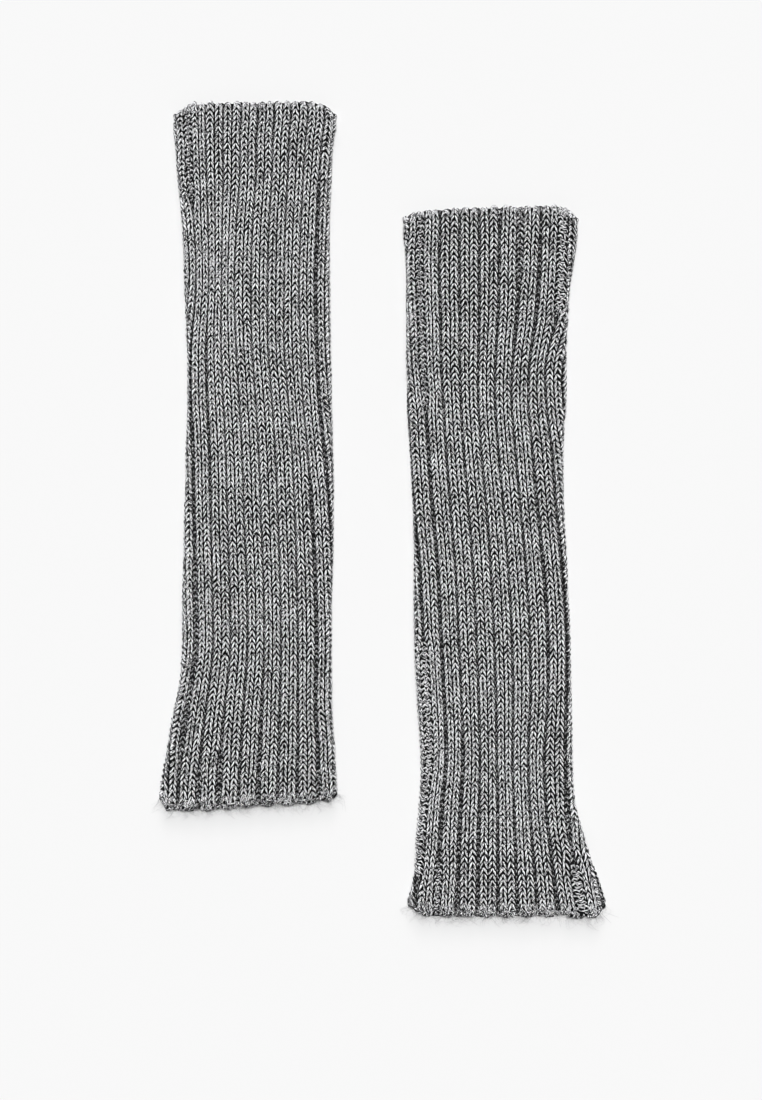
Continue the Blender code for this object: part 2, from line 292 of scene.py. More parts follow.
class Tube:
    """Turns a place on a mitten's cloth into a point of the frame.

    A place is a rib number round the tube, a distance down from the finger end, and a
    distance out from the middle of the wall. Ribs are counted over the upper layer from the
    left fold, and back under; a whole number is the groove before a rib. A walk is a distance
    round the tube from the left fold, in the same direction.
    """

    def __init__(self, mitten):
        self.mitten = mitten
        downs = np.arange(-GRID_MARGIN, LENGTH + GRID_MARGIN, GRID)
        steps = [row.down * MM for row in mitten.sections]
        read = {
            name: smooth_read(downs, steps, [getattr(row, name) * MM for row in mitten.sections])
            for name in Section._fields[1:]
        }
        left = read["left"] + FOLD_BULGE
        right = read["right"] - FOLD_BULGE
        layer = right - left - 2 * FOLD_REACH + 2 * QUARTER
        first, fourth, seventh, eighth = (
            self.walk_to(read[name], left, right, layer)
            for name in ("rib_1", "rib_4", "rib_7", "rib_8")
        )
        left_rib = 1 - first / (fourth - first) * 3
        right_rib = 8 + (layer - eighth) / (seventh - fourth) * 3
        ones = np.ones_like(downs)
        self.low = downs[0]
        self.left, self.right, self.layer = left, right, layer
        self.ribs = np.stack(
            [left_rib, ones, 4 * ones, 7 * ones, 8 * ones, right_rib, left_rib + RIB_COUNT], axis=1
        )
        self.walks = np.stack(
            [0 * ones, first, fourth, seventh, eighth, layer, 2 * layer], axis=1
        )

    @staticmethod
    def walk_to(x, left, right, layer):
        """How far the walk over the upper layer is when it reaches x."""
        from_left, from_right = x - left, right - x
        left_turn = np.arccos(np.clip(1 - from_left / FOLD_REACH, 0, 1)) / (math.pi / 2)
        right_turn = np.arccos(np.clip(1 - from_right / FOLD_REACH, 0, 1)) / (math.pi / 2)
        walk = QUARTER + from_left - FOLD_REACH
        walk = np.where(from_left < FOLD_REACH, left_turn * QUARTER, walk)
        return np.where(from_right < FOLD_REACH, layer - right_turn * QUARTER, walk)

    def at(self, grid, down):
        """A worked-out value, or row of values, at each distance down."""
        place = np.clip((down - self.low) / GRID, 0, len(grid) - 1.001)
        row = place.astype(int)
        share = place - row
        if grid.ndim == 2:
            share = share[..., None]
        return grid[row] * (1 - share) + grid[row + 1] * share

    def walk(self, rib, down):
        """The walk to a rib, and metres of walk to a rib there."""
        ribs, walks = self.at(self.ribs, down), self.at(self.walks, down)
        rib = (rib - ribs[..., 0]) % RIB_COUNT + ribs[..., 0]
        step = np.clip((rib[..., None] >= ribs).sum(axis=-1) - 1, 0, ribs.shape[-1] - 2)

        def take(values, at):
            return np.take_along_axis(values, at[..., None], axis=-1)[..., 0]

        rib_low, rib_high = take(ribs, step), take(ribs, step + 1)
        walk_low, walk_high = take(walks, step), take(walks, step + 1)
        pitch = (walk_high - walk_low) / (rib_high - rib_low)
        return walk_low + (rib - rib_low) * pitch, pitch

    def layer_walk(self, rib, down):
        """The walk brought on to one layer, the layer's length, and whether it lies under."""
        walk, _ = self.walk(rib, down)
        layer = self.at(self.layer, down)
        under = walk > layer
        return np.where(under, 2 * layer - walk, walk), layer, under

    def fold_share(self, rib, down):
        """1 at a fold's outermost line, falling to 0 on the layers, and whether it is under."""
        walk, layer, under = self.layer_walk(rib, down)
        arc = np.minimum(walk, layer - walk)
        return np.clip(1 - arc / (FOLD_SPREAD * QUARTER), 0, 1), under

    def place(self, rib, down, out):
        """Points of the frame, one row of x, y and z for each place."""
        walk, layer, under = self.layer_walk(rib, down)
        left, right = self.at(self.left, down), self.at(self.right, down)
        on_left = walk < layer / 2
        arc = np.minimum(walk, layer - walk)
        turn = np.clip(arc / QUARTER, 0, 1) * (math.pi / 2)
        side = np.where(on_left, -1.0, 1.0)
        edge = np.where(on_left, left, right)
        inset = FOLD_REACH * (1 - np.cos(turn)) + np.maximum(arc - QUARTER, 0)
        x = edge - side * inset
        z = LAYER_HALF * np.sin(turn)
        normal_x = side * LAYER_HALF * np.cos(turn)
        normal_z = FOLD_REACH * np.sin(turn)
        size = np.hypot(normal_x, normal_z)
        flip = np.where(under, -1.0, 1.0)
        across = (x - left) / (right - left)
        points = np.empty(x.shape + (3,))
        points[..., 0] = self.mitten.centre_x + x + out * normal_x / size
        points[..., 1] = self.mitten.finger_y - down - self.end_shift(down, across)
        points[..., 1] -= self.rib_end_bulge(rib, down)
        points[..., 2] = MIDDLE_Z + flip * (z + out * normal_z / size)
        return points

    def end_shift(self, down, across):
        """How far a place is moved down the tube by the slant of the end it is near."""
        steps = [row.across for row in self.mitten.ends]
        finger = np.interp(across, steps, [row.finger * MM for row in self.mitten.ends])
        arm = np.interp(across, steps, [row.arm * MM for row in self.mitten.ends])
        finger_share = np.clip(1 - down / END_FADE, 0, 1)
        arm_share = np.clip(1 - (LENGTH - down) / END_FADE, 0, 1)
        return finger * finger_share + arm * arm_share

    def rib_end_bulge(self, rib, down):
        """How far ribs hang past the arm end's line, and grooves, less than 0, stop short."""
        share = np.clip(1 - (LENGTH - down) / RIB_END_REACH, 0, 1)
        return -RIB_END_BULGE * np.cos(2 * math.pi * rib) * share * share

    def opening(self, groove, down):
        """How far a groove gapes at each distance down: 0 shut, 1 open."""
        mitten = self.mitten
        fold, _ = self.fold_share(groove, down)
        slack_steps = [row.down * MM for row in mitten.slack]
        opening = np.interp(down, slack_steps, [row.opening for row in mitten.slack])
        opening = opening + FOLD_OPENING * fold
        number = groove % RIB_COUNT
        at_slit = (down > mitten.slit_from - SLIT_MARGIN) & (down < mitten.slit_to + SLIT_MARGIN)
        opening = np.where((number == mitten.slit_groove) & at_slit, 0.0, opening)
        for gape in mitten.gapes:
            inside = np.minimum(down - gape.start * MM, gape.end * MM - down)
            amount = gape.opening * ease(inside / GAPE_RAMP)
            opening = np.where(number == gape.groove, np.maximum(opening, amount), opening)
        return opening

    def groove_half(self, groove, down):
        """Half the width of a groove, in ribs."""
        return GROOVE_SHUT + (GROOVE_OPEN - GROOVE_SHUT) * self.opening(groove, down)

    def is_slit(self, rib, down):
        """True where the cloth is open at the thumb slit."""
        inside = (down > self.mitten.slit_from) & (down < self.mitten.slit_to)
        return inside & ((rib - self.mitten.slit_groove) % RIB_COUNT < SLIT_WIDTH)


def purl_out(opening):
    """How far out the purl stitches lie in a groove that is open this far."""
    return PURL_SHUT + (PURL_OPEN - PURL_SHUT) * opening ** PURL_LATE


# ---- meshes from arrays


def add_object(name, data):
    """An object of this name in the scene."""
    item = bpy.data.objects.new(name, data)
    bpy.context.scene.collection.objects.link(item)
    return item


def make_mesh(name, points, quads, triangles, strand=None, rise=None):
    """A smooth-shaded object from arrays.

    Strand holds a vector for each face corner, and rise a number for each point.
    """
    mesh = bpy.data.meshes.new(name)
    corners = np.concatenate([quads.ravel(), triangles.ravel()]).astype(np.int32)
    sizes = np.concatenate([np.full(len(quads), 4), np.full(len(triangles), 3)])
    starts = np.concatenate([[0], np.cumsum(sizes)[:-1]]).astype(np.int32)
    mesh.vertices.add(len(points))
    mesh.vertices.foreach_set("co", points.astype(np.float32).ravel())
    mesh.loops.add(len(corners))
    mesh.loops.foreach_set("vertex_index", corners)
    mesh.polygons.add(len(sizes))
    mesh.polygons.foreach_set("loop_start", starts)
    mesh.update(calc_edges=True)
    if strand is not None:
        attribute = mesh.attributes.new("strand", "FLOAT_VECTOR", "CORNER")
        attribute.data.foreach_set("vector", strand.astype(np.float32).ravel())
    if rise is not None:
        attribute = mesh.attributes.new("rise", "FLOAT", "POINT")
        attribute.data.foreach_set("value", rise.astype(np.float32))
    mesh.shade_smooth()
    return add_object(name, mesh)


def spindle_faces(ring_count, sides):
    """Ring and side of each corner of a spindle's quads and tip triangles, facing outwards.

    The tips are rings -1 and ring_count, and lie half way along a side.
    """
    grid = np.meshgrid(np.arange(ring_count - 1), np.arange(sides), indexing="ij")
    ring, side = (values.reshape(-1, 1) for values in grid)
    quads = (ring + [0, 1, 1, 0], side + [0, 0, 1, 1])
    side = np.arange(sides)[:, None]
    rings = np.repeat([[-1, 0, 0], [ring_count, ring_count - 1, ring_count - 1]], sides, axis=0)
    triangles = (rings, np.concatenate([side + [0.5, 0, 1], side + [0.5, 1, 0]]))
    return quads, triangles


# ---- lengths of yarn

TWIST = 3.2 * MM  # yarn from one ply to the next along its twist
PLUMP = (0.92, 1.08)  # of its thickness, from the thinnest length to the thickest
EDGE_SIDES = 8  # sides of the yarn at the two ends,
LAYER_SIDES = {"upper": 6, "lower": 4}  # and on the two layers

# A short length of yarn's route: across and down from its stitch's middle and out from its
# base, in mm, and half its width along the cloth and half its height. The first and last
# rows are its two tips.
Bead = namedtuple("Bead", "across down out half_width half_height")


def both_sides(beads):
    """A route given up to its middle, and on the same way turned left for right."""
    return beads + [bead._replace(across=-bead.across) for bead in beads[-2::-1]]


# The left leg of a knit stitch, from its head under the stitch above to its foot
KNIT_WIDTH = 4.15 * MM  # width of a column that it fits as it is
KNIT_LEG = table(Bead, [
    (0.03, -2.45, -1.45, 0.00, 0.00),
    (-0.42, -1.56, -0.48, 0.54, 0.59),
    (-1.08, -0.07, 0.22, 0.64, 0.70),
    (-1.79, 1.41, -0.08, 0.55, 0.60),
    (-2.18, 2.27, -1.08, 0.00, 0.00),
])

# The bump of the left one of a groove's two purl stitches, which leans up to the groove's
# middle, and the loop that links the two
PURL_WIDTH = 2.3 * MM  # half a groove's width that it fits as it is
PURL_NARROWEST = 1.2 * MM  # it is as wide as for this in narrower grooves
PURL_BUMP = table(Bead, [
    (-1.70, 2.00, -1.00, 0.00, 0.00),
    (-1.00, 0.95, -0.10, 0.58, 0.54),
    (-0.10, -0.10, 0.22, 0.66, 0.62),
    (0.80, -0.65, 0.05, 0.60, 0.56),
    (1.55, -0.60, -0.85, 0.00, 0.00),
])

PURL_LINK = both_sides(table(Bead, [
    (-1.60, -0.70, -1.10, 0.00, 0.00),
    (-0.90, 0.05, -0.45, 0.54, 0.46),
    (0.00, 0.40, -0.20, 0.60, 0.54),
]))

# The same bump where the groove is so wide that each stitch shows its own arch
PURL_WIDE = 0.75  # from this share of PURL_WIDTH
PURL_ARCH = both_sides(table(Bead, [
    (-1.35, 1.55, -1.00, 0.00, 0.00),
    (-0.90, 0.45, -0.10, 0.54, 0.54),
    (0.00, -0.55, 0.24, 0.62, 0.62),
]))

# A cast-on loop at the finger end
CAST_ON_WIDTH = 4.1 * MM  # width of a column that it fits as it is
CAST_ON_LOOP = both_sides(table(Bead, [
    (-1.42, 2.70, -1.10, 0.00, 0.00),
    (-1.32, 1.20, -0.10, 0.62, 0.60),
    (-0.85, 0.05, 0.12, 0.78, 0.76),
    (0.00, -0.38, 0.10, 0.82, 0.80),
]))

# The two rows of cast-on loops: how far down they lie and how much higher than the stitches
CAST_ON_ROWS = ((1.1 * MM, -0.05 * MM), (2.3 * MM, -0.6 * MM))

# One side of a link of the bind-off chain at the arm end
BIND_OFF_LINK = table(Bead, [
    (-0.80, -1.80, -0.60, 0.00, 0.00),
    (-0.60, -1.05, 0.00, 0.66, 0.56),
    (0.00, 0.00, 0.22, 0.80, 0.66),
    (0.60, 1.05, 0.00, 0.70, 0.58),
    (0.80, 1.80, -0.60, 0.00, 0.00),
])

# A row of the bind-off, in mm: the links to a rib and their shift, how far up the row lies and
# how far out in a groove and on a rib, its size, its lean in degrees and how uneven that is
BindOffRow = namedtuple("BindOffRow", "per_rib shift up out_groove out_rib size lean uneven")

BIND_OFF_ROWS = table(BindOffRow, [
    (5, 0.5, 5.6, -2.6, 0.4, 0.80, -34, 16),
    (5, 0.2, 4.2, -2.2, 0.3, 0.85, 38, 16),
    (5, 0.7, 2.9, -1.6, 0.5, 0.88, -42, 16),
    (5, 0.1, 1.8, -0.5, 0.2, 0.90, 60, 14),
    (4, 0.3, 1.7, -1.1, -0.8, 1.25, 88, 4),
])

EDGE_SHADE = (-0.4 * MM, 0.3 * MM)  # the chain's yarn takes the painted shade of rises between these only

# Lengths of yarn as arrays: strand has a vector for each corner of the faces, and rise is how far
# out from the middle of the wall each point lies, from which the yarn's material paints shade
Yarn = namedtuple("Yarn", "points quads triangles quad_strand triangle_strand rise")

# The column each knit stitch is in: how far it reaches to the rib's middle line and to the
# groove, the groove's side, -1 or 1, and how much lower the rib's edges lie than its middle
Column = namedtuple("Column", "reach groove_reach groove_side roundness")


def round_shoulder(across, height, reach, side, shoulder, drop):
    """Rounds a knit column down at its border, which is at reach on side -1 or 1."""
    away = reach - across * side
    held = np.where(away > shoulder, away, shoulder * np.exp((away - shoulder) / shoulder))
    steep = np.clip(1 - held / shoulder, 0, 1)
    return side * (reach - held), height - drop * steep ** SHOULDER_CURVE


def round_column(across, height, column):
    """Rounds a knit column down at both borders, and its whole rib towards the edges."""
    reach, groove_reach, groove_side, roundness = (part[:, None] for part in column)
    across, height = round_shoulder(
        across, height, groove_reach, groove_side, SHOULDER, SHOULDER_DROP
    )
    across, height = round_shoulder(across, height, reach, -groove_side, RIB_DIP_REACH, RIB_DIP)
    from_middle = (reach + across * groove_side) / (reach + groove_reach)
    return across, height - roundness * np.abs(from_middle) ** RIB_CURVE


def lay_yarn(tube, rib, down, out, beads, scale, sides, rng, lean=0.0, mirror=1.0, column=None):
    """Closed spindles of yarn along the beads' route, one at each place.

    Scale stretches the route across and down, lean turns it by an angle in radians, and a
    mirror of -1 turns it left for right.
    """
    count = len(rib)
    lean, mirror = (np.broadcast_to(value, count)[:, None] for value in (lean, mirror))
    route = np.array(beads) * MM
    straight_across = route[:, 0] * scale[0][:, None] * mirror
    straight_along = route[:, 1] * scale[1][:, None]
    across = straight_across * np.cos(lean) - straight_along * np.sin(lean)
    along = straight_across * np.sin(lean) + straight_along * np.cos(lean)
    height = np.broadcast_to(route[:, 2], across.shape)
    plump = rng.uniform(*PLUMP, count)[:, None]
    half_width = route[:, 3] * plump
    half_height = route[:, 4] * plump

    angles = 2 * math.pi * np.arange(sides) / sides + math.pi / sides
    step_across, step_along = np.gradient(across, axis=1), np.gradient(along, axis=1)
    step = np.hypot(step_across, step_along) + 1e-9

    def spindle(middle, half, swing):
        """One coordinate of all points: a tip, the rings and the other tip."""
        rings = (middle[:, 1:-1, None] + half[:, 1:-1, None] * swing).reshape(count, -1)
        return np.concatenate([middle[:, :1], rings, middle[:, -1:]], axis=1)

    across = spindle(across, half_width * -step_along / step, np.cos(angles))
    along = spindle(along, half_width * step_across / step, np.cos(angles))
    height = spindle(height, half_height, np.sin(angles))
    if column is not None:
        across, height = round_column(across, height, column)
    _, pitch = tube.walk(rib, down)
    rise = out[:, None] + height
    points = tube.place(rib[:, None] + across / pitch[:, None], down[:, None] + along, rise)
    points[..., 2] = np.maximum(points[..., 2], 0.0)

    # each corner's place along and round the yarn, for its fibres and its painted side shade, and
    # the length's own tone
    start = rng.uniform(0, 1, count)[:, None, None]
    tone = rng.uniform(0, 1, count)[:, None, None]
    length = np.concatenate([[0], np.cumsum(np.hypot(*np.diff(route[:, :2], axis=0).T))])
    first = (np.arange(count) * points.shape[1])[:, None, None]
    ring_count = len(beads) - 2
    faces, strands = [], []
    for ring, side in spindle_faces(ring_count, sides):
        strand = np.empty((count,) + ring.shape + (3,))
        strand[..., 0] = length[ring + 1] / TWIST + start
        strand[..., 1] = ((side + 0.5) / sides - 0.25) * mirror[..., None]
        strand[..., 2] = tone
        strands.append(strand.reshape(-1, 3))
        point = 1 + ring * sides + side.astype(int) % sides
        point = first + np.clip(point, 0, 1 + ring_count * sides)
        faces.append(point.reshape(-1, ring.shape[1]))
    return Yarn(points.reshape(-1, 3), *faces, *strands, rise.ravel())


def join(parts):
    """Several results of lay_yarn, as the arrays that make_mesh takes."""
    firsts = np.cumsum([0] + [len(part.points) for part in parts])
    stacks = (
        [part.points for part in parts],
        [part.quads + first for part, first in zip(parts, firsts)],
        [part.triangles + first for part, first in zip(parts, firsts)],
        [part.quad_strand for part in parts] + [part.triangle_strand for part in parts],
        [part.rise for part in parts],
    )
    return [np.concatenate(stack) for stack in stacks]


# ---- stitches

# Length and size of the waves in the knitted rows, and in each knit column
ROW_WAVE = (60 * MM, 0.5 * MM)
COLUMN_WAVES = ((61 * MM, 0.26 * MM), (23 * MM, 0.18 * MM))

# How uneven the knit stitches are: the spread of how far down and out they lie, of their lean
# in radians, and of their length
KNIT_DOWN, KNIT_RISE, KNIT_LEAN, KNIT_LENGTH = 0.10 * MM, 0.06 * MM, 0.08, 0.05

GROOVE_LAP = 0.02  # a knit stitch laps over its groove by this many ribs
GROOVE_LAP_MOST = 0.15 * MM  # or this, whichever is less

PURL_DOWN_SPREAD = 0.22 * MM
PURL_OUT_SPREAD = 0.12 * MM
PURL_SIZES = (0.9, 1.1)  # of its width, from the least to the greatest
LENGTHS = (0.85, 1.15)  # the same for the length of a purl or an end stitch
PURL_LINK_OPENING = 0.3  # the link shows in grooves that are open further


def waves(rng, at, length, size):
    """Smooth unevenness along a line: a few waves of about this length, at most about size."""
    total = np.zeros_like(at)
    for wave in range(4):
        total += np.sin(2 * math.pi * at / (length * (0.6 + 0.45 * wave)) + rng.uniform(0, 6.28))
    return size * total / 2.5


def row_places(rng):
    """Distance down of each knitted row, a little uneven."""
    rows = np.linspace(FIRST_ROW, LAST_ROW, round((LAST_ROW - FIRST_ROW) / ROW) + 1)
    return rows + waves(rng, rows, *ROW_WAVE)


def knit_places(tube, rows):
    """Rib number of the middle, width in ribs, column of its rib, and down of each stitch."""
    grid = np.meshgrid(np.arange(RIB_COUNT), [0, 1], rows, indexing="ij")
    rib, column, down = (values.ravel() for values in grid)
    before = tube.groove_half(rib, down)
    behind = tube.groove_half(rib + 1, down)
    width = (1 - before - behind) / 2
    return rib + before + (column + 0.5) * width, width, column, down


def knit_stitches(tube, rng):
    """Both legs of every knit stitch, as a list of parts for each layer."""
    centre, width, column, down = knit_places(tube, row_places(rng))
    column_number = 2 * np.floor(centre).astype(int) % (2 * RIB_COUNT) + column
    for length, size in COLUMN_WAVES:
        phase = rng.uniform(0, 2 * math.pi, 2 * RIB_COUNT)[column_number]
        down = down + size * np.sin(2 * math.pi * down / length + phase)
    down = down + rng.normal(0, KNIT_DOWN, len(down))
    _, pitch = tube.walk(centre, down)
    opening = np.clip(tube.opening(np.round(centre), down), 0, RIB_ROUND_MOST)
    reach = width * pitch / 2
    shape = Column(
        reach,
        reach + np.minimum(GROOVE_LAP * pitch, GROOVE_LAP_MOST),
        np.where(column == 0, -1.0, 1.0),
        RIB_ROUND + RIB_ROUND_SLACK * opening,
    )
    fold, under = tube.fold_share(centre, down)
    parts = {layer: [] for layer in LAYER_SIDES}
    for mirror in (1, -1):
        out = KNIT_OUT - FOLD_DROP * fold + rng.normal(0, KNIT_RISE, len(down))
        lean = rng.normal(0, KNIT_LEAN, len(down))
        length = rng.normal(1.0, KNIT_LENGTH, len(down))
        for layer, sides in LAYER_SIDES.items():
            pick = under == (layer == "lower")
            scale = (width[pick] * pitch[pick] / KNIT_WIDTH, length[pick])
            parts[layer].append(lay_yarn(
                tube, centre[pick], down[pick], out[pick], KNIT_LEG, scale, sides, rng,
                lean[pick], mirror, Column(*(values[pick] for values in shape)),
            ))
    return parts


def purl_stitches(tube, rng):
    """The bumps in the grooves, with the loops between them where a groove gapes."""
    grid = np.meshgrid(np.arange(RIB_COUNT), [-1, 1], row_places(rng), indexing="ij")
    groove, side, down = (values.ravel() for values in grid)
    half = tube.groove_half(groove, down)
    opening = np.clip(tube.opening(groove, down), 0, 1)
    rib = groove + side * half / 2
    _, pitch = tube.walk(rib, down)
    width = np.maximum(half * pitch, PURL_NARROWEST) / PURL_WIDTH
    out = purl_out(opening) + rng.normal(0, PURL_OUT_SPREAD, len(down))
    down = down + rng.normal(0, PURL_DOWN_SPREAD, len(down))
    closed = ~tube.is_slit(rib, down)
    _, under = tube.fold_share(rib, down)
    parts = {layer: [] for layer in LAYER_SIDES}
    for layer, sides in LAYER_SIDES.items():
        shown = (under == (layer == "lower")) & closed
        linked = shown & (opening > PURL_LINK_OPENING) & (side < 0)
        for beads, middle, shift, lean_spread, pick in (
            (PURL_BUMP, rib, 0.0, 0.14, shown & (width < PURL_WIDE)),
            (PURL_ARCH, rib, 0.0, 0.32, shown & (width >= PURL_WIDE)),
            (PURL_LINK, groove, ROW / 2, 0.20, linked),
        ):
            count = pick.sum()
            if count == 0:
                continue
            lean = rng.normal(0, lean_spread, count)
            scale = (width[pick] * rng.uniform(*PURL_SIZES, count), rng.uniform(*LENGTHS, count))
            parts[layer].append(lay_yarn(
                tube, middle[pick], down[pick] + shift, out[pick], beads, scale, sides, rng,
                lean, -side[pick],
            ))
    return parts


# ---- the two ends

CAST_ON_DROP = 0.15 * MM  # a cast-on loop lies this much lower than the knit stitches,
CAST_ON_SINK = 1.1 * MM  # and in a groove this far down from the edge
CAST_ON_SPREAD = 0.3 * MM  # how unevenly far down it lies,
CAST_ON_LEAN = 0.25  # and how uneven its lean is, in radians
NARROWEST_COLUMN = 1.3 * MM
BIND_OFF_ALONG = 0.12  # spread of a link's place along the edge, in links,
BIND_OFF_DOWN = 0.25 * MM  # of how far down it lies
BIND_OFF_OUT = 0.12 * MM  # and of how far out
RIB_END_CURVE = 0.7  # how soon the chain comes up out of the grooves


def edge_columns(tube, down):
    """Rib number, width in metres and out of every stitch column, at one distance down."""
    groove, here = np.arange(RIB_COUNT), np.full(RIB_COUNT, down)
    before = tube.groove_half(groove, here)
    behind = tube.groove_half(groove + 1, here)
    knit = (1 - before - behind) / 2
    low = purl_out(np.minimum(tube.opening(groove, here), 1.0))
    high = np.full(RIB_COUNT, KNIT_OUT - CAST_ON_DROP)
    rib = np.stack([
        groove - before / 2,
        groove + before / 2,
        groove + before + knit / 2,
        groove + before + knit * 1.5,
    ], axis=1).ravel()
    width = np.stack([before, before, knit, knit], axis=1).ravel()
    out = np.stack([low, low, high, high], axis=1).ravel()
    _, pitch = tube.walk(rib, np.full(len(rib), down))
    return rib, np.maximum(width * pitch, NARROWEST_COLUMN), out


def cast_on_edge(tube, rng):
    """A rounded loop over every column, and a second row of them a little lower."""
    parts = []
    for row_down, lift in CAST_ON_ROWS:
        rib, width, out = edge_columns(tube, row_down)
        sunk = np.clip((KNIT_OUT - out) / (KNIT_OUT - PURL_SHUT), 0, 1)
        down = row_down + sunk * CAST_ON_SINK + rng.normal(0, CAST_ON_SPREAD, len(rib))
        scale = (width / CAST_ON_WIDTH, rng.uniform(*LENGTHS, len(rib)))
        lean = rng.normal(0, CAST_ON_LEAN, len(rib))
        parts.append(
            lay_yarn(tube, rib, down, out + lift, CAST_ON_LOOP, scale, EDGE_SIDES, rng, lean)
        )
    return parts


def bind_off_edge(tube, rng):
    """A thick chain along the arm end, its links leaning this way and that."""
    parts = []
    for row in BIND_OFF_ROWS:
        rib = np.arange(0, RIB_COUNT, 1 / row.per_rib) + row.shift / row.per_rib
        rib = rib + rng.normal(0, BIND_OFF_ALONG / row.per_rib, len(rib))
        down = LENGTH - row.up * MM + rng.normal(0, BIND_OFF_DOWN, len(rib))
        on_rib = np.abs(np.sin(math.pi * rib)) ** RIB_END_CURVE
        out = (row.out_groove + (row.out_rib - row.out_groove) * on_rib) * MM
        out = out + rng.normal(0, BIND_OFF_OUT, len(rib))
        size = row.size * rng.uniform(*LENGTHS, len(rib))
        lean = np.radians(row.lean + rng.normal(0, row.uneven, len(rib)))
        links = lay_yarn(
            tube, rib, down, out, BIND_OFF_LINK, (size, size), EDGE_SIDES, rng, lean
        )
        # the chain's painted shade is held to that of rises within EDGE_SHADE
        parts.append(links._replace(rise=np.clip(links.rise, *EDGE_SHADE)))
    return parts


# ---- the sheet under the stitches

SHEET_WALL = 1.0 * MM
SHEET_COLUMNS = 8  # of the sheet's mesh in each rib
SHEET_ROW = 6.0 * MM
SHEET_TOP = 1.2 * MM  # how far the sheet stops short of the finger end
SHEET_BOTTOM = 1.4 * MM  # and of the arm end
SHEET_FLOOR = -1.75 * MM  # how far out its outer face is in a shut groove,
SHEET_FLOOR_RISE = 1.95 * MM  # how much further in an open one,
SHEET_CREST = 0.05 * MM  # and how far on a rib
SHEET_FLAT = 0.6  # of a groove's half width is flat floor,
SHEET_SLOPE = 0.16  # and its side rises over this many ribs


def sheet_out(tube, rib, down):
    """Outer face of the sheet: close under the crests, deep in the grooves."""
    groove = np.round(rib)
    flat = SHEET_FLAT * tube.groove_half(groove, down)
    floor = SHEET_FLOOR + SHEET_FLOOR_RISE * np.clip(tube.opening(groove, down), 0, 1)
    fold, _ = tube.fold_share(rib, down)
    crest = SHEET_CREST - FOLD_DROP * fold
    return floor + (crest - floor) * ease((np.abs(rib - groove) - flat) / SHEET_SLOPE)


def sheet(tube):
    """A closed thin wall round the tube, open at both ends and at the thumb slit."""
    downs = np.linspace(SHEET_TOP, LENGTH - SHEET_BOTTOM, round(LENGTH / SHEET_ROW))
    ribs = np.arange(RIB_COUNT * SHEET_COLUMNS) / SHEET_COLUMNS
    rib, down = np.meshgrid(ribs, downs, indexing="xy")
    outer = sheet_out(tube, rib, down)
    points = np.concatenate([
        tube.place(rib, down, outer).reshape(-1, 3),
        tube.place(rib, down, outer - SHEET_WALL).reshape(-1, 3),
    ])
    corner = np.arange(rib.size).reshape(rib.shape)
    beside = np.roll(corner, -1, axis=1)
    left, right, low_left, low_right = corner[:-1], beside[:-1], corner[1:], beside[1:]
    is_open = tube.is_slit(rib + 0.5 / SHEET_COLUMNS, down + SHEET_ROW / 2)[:-1]
    past_ends = np.pad(is_open, ((1, 1), (0, 0)), constant_values=True)
    inner = rib.size                # from a point of the outer face to its twin on the inner one
    quads = [
        np.stack([left, low_left, low_right, right], axis=-1)[~is_open],
        np.stack([left, right, low_right, low_left], axis=-1)[~is_open] + inner,
    ]
    for start, end, open_beyond in (
        (left, right, past_ends[:-2]),
        (low_right, low_left, past_ends[2:]),
        (low_left, left, np.roll(is_open, 1, axis=1)),
        (right, low_right, np.roll(is_open, -1, axis=1)),
    ):
        rim = np.stack([start, end, end + inner, start + inner], axis=-1)
        quads.append(rim[~is_open & open_beyond])
    used, corners = np.unique(np.concatenate(quads), return_inverse=True)
    return make_mesh(
        tube.mitten.name + "_sheet", points[used], corners.reshape(-1, 4), np.zeros((0, 3), int)
    )


# ---- stray fibres

EDGE_FIBRES = 420  # rooted at the two ends,
ARM_END_SHARE = 0.9  # of them at the arm end
BODY_FIBRES = 260  # rooted anywhere on the cloth
EDGE_LENGTHS = (1.5, 7.5)  # in mm
BODY_LENGTHS = (0.8, 2.0)
SHORT_FIBRE = 1.4 * MM  # the longest in the tube's finger half
FIBRE_ROOTS = (0.2, 1.6)  # how far out from the middle of the wall, in mm,
FIBRE_LIFTS = (0.2, 1.4)  # and how much further out the tip is
FIBRE_SLANT = 0.6  # spread of how far a fibre goes sideways, of its length,
FIBRE_CURL = 0.4  # and of how far it bows
FIBRE_SAG = 0.25  # how far its tip sinks, of its length
FIBRE_LOW = 0.1 * MM  # the lowest a fibre comes,
FIBRE_HIGH = 2 * MIDDLE_Z + 0.6 * MM  # and the highest
FIBRE_RADIUS = 0.044 * MM  # at the root, and half of it at the tip
FIBRE_STEPS, FIBRE_SIDES = 6, 3


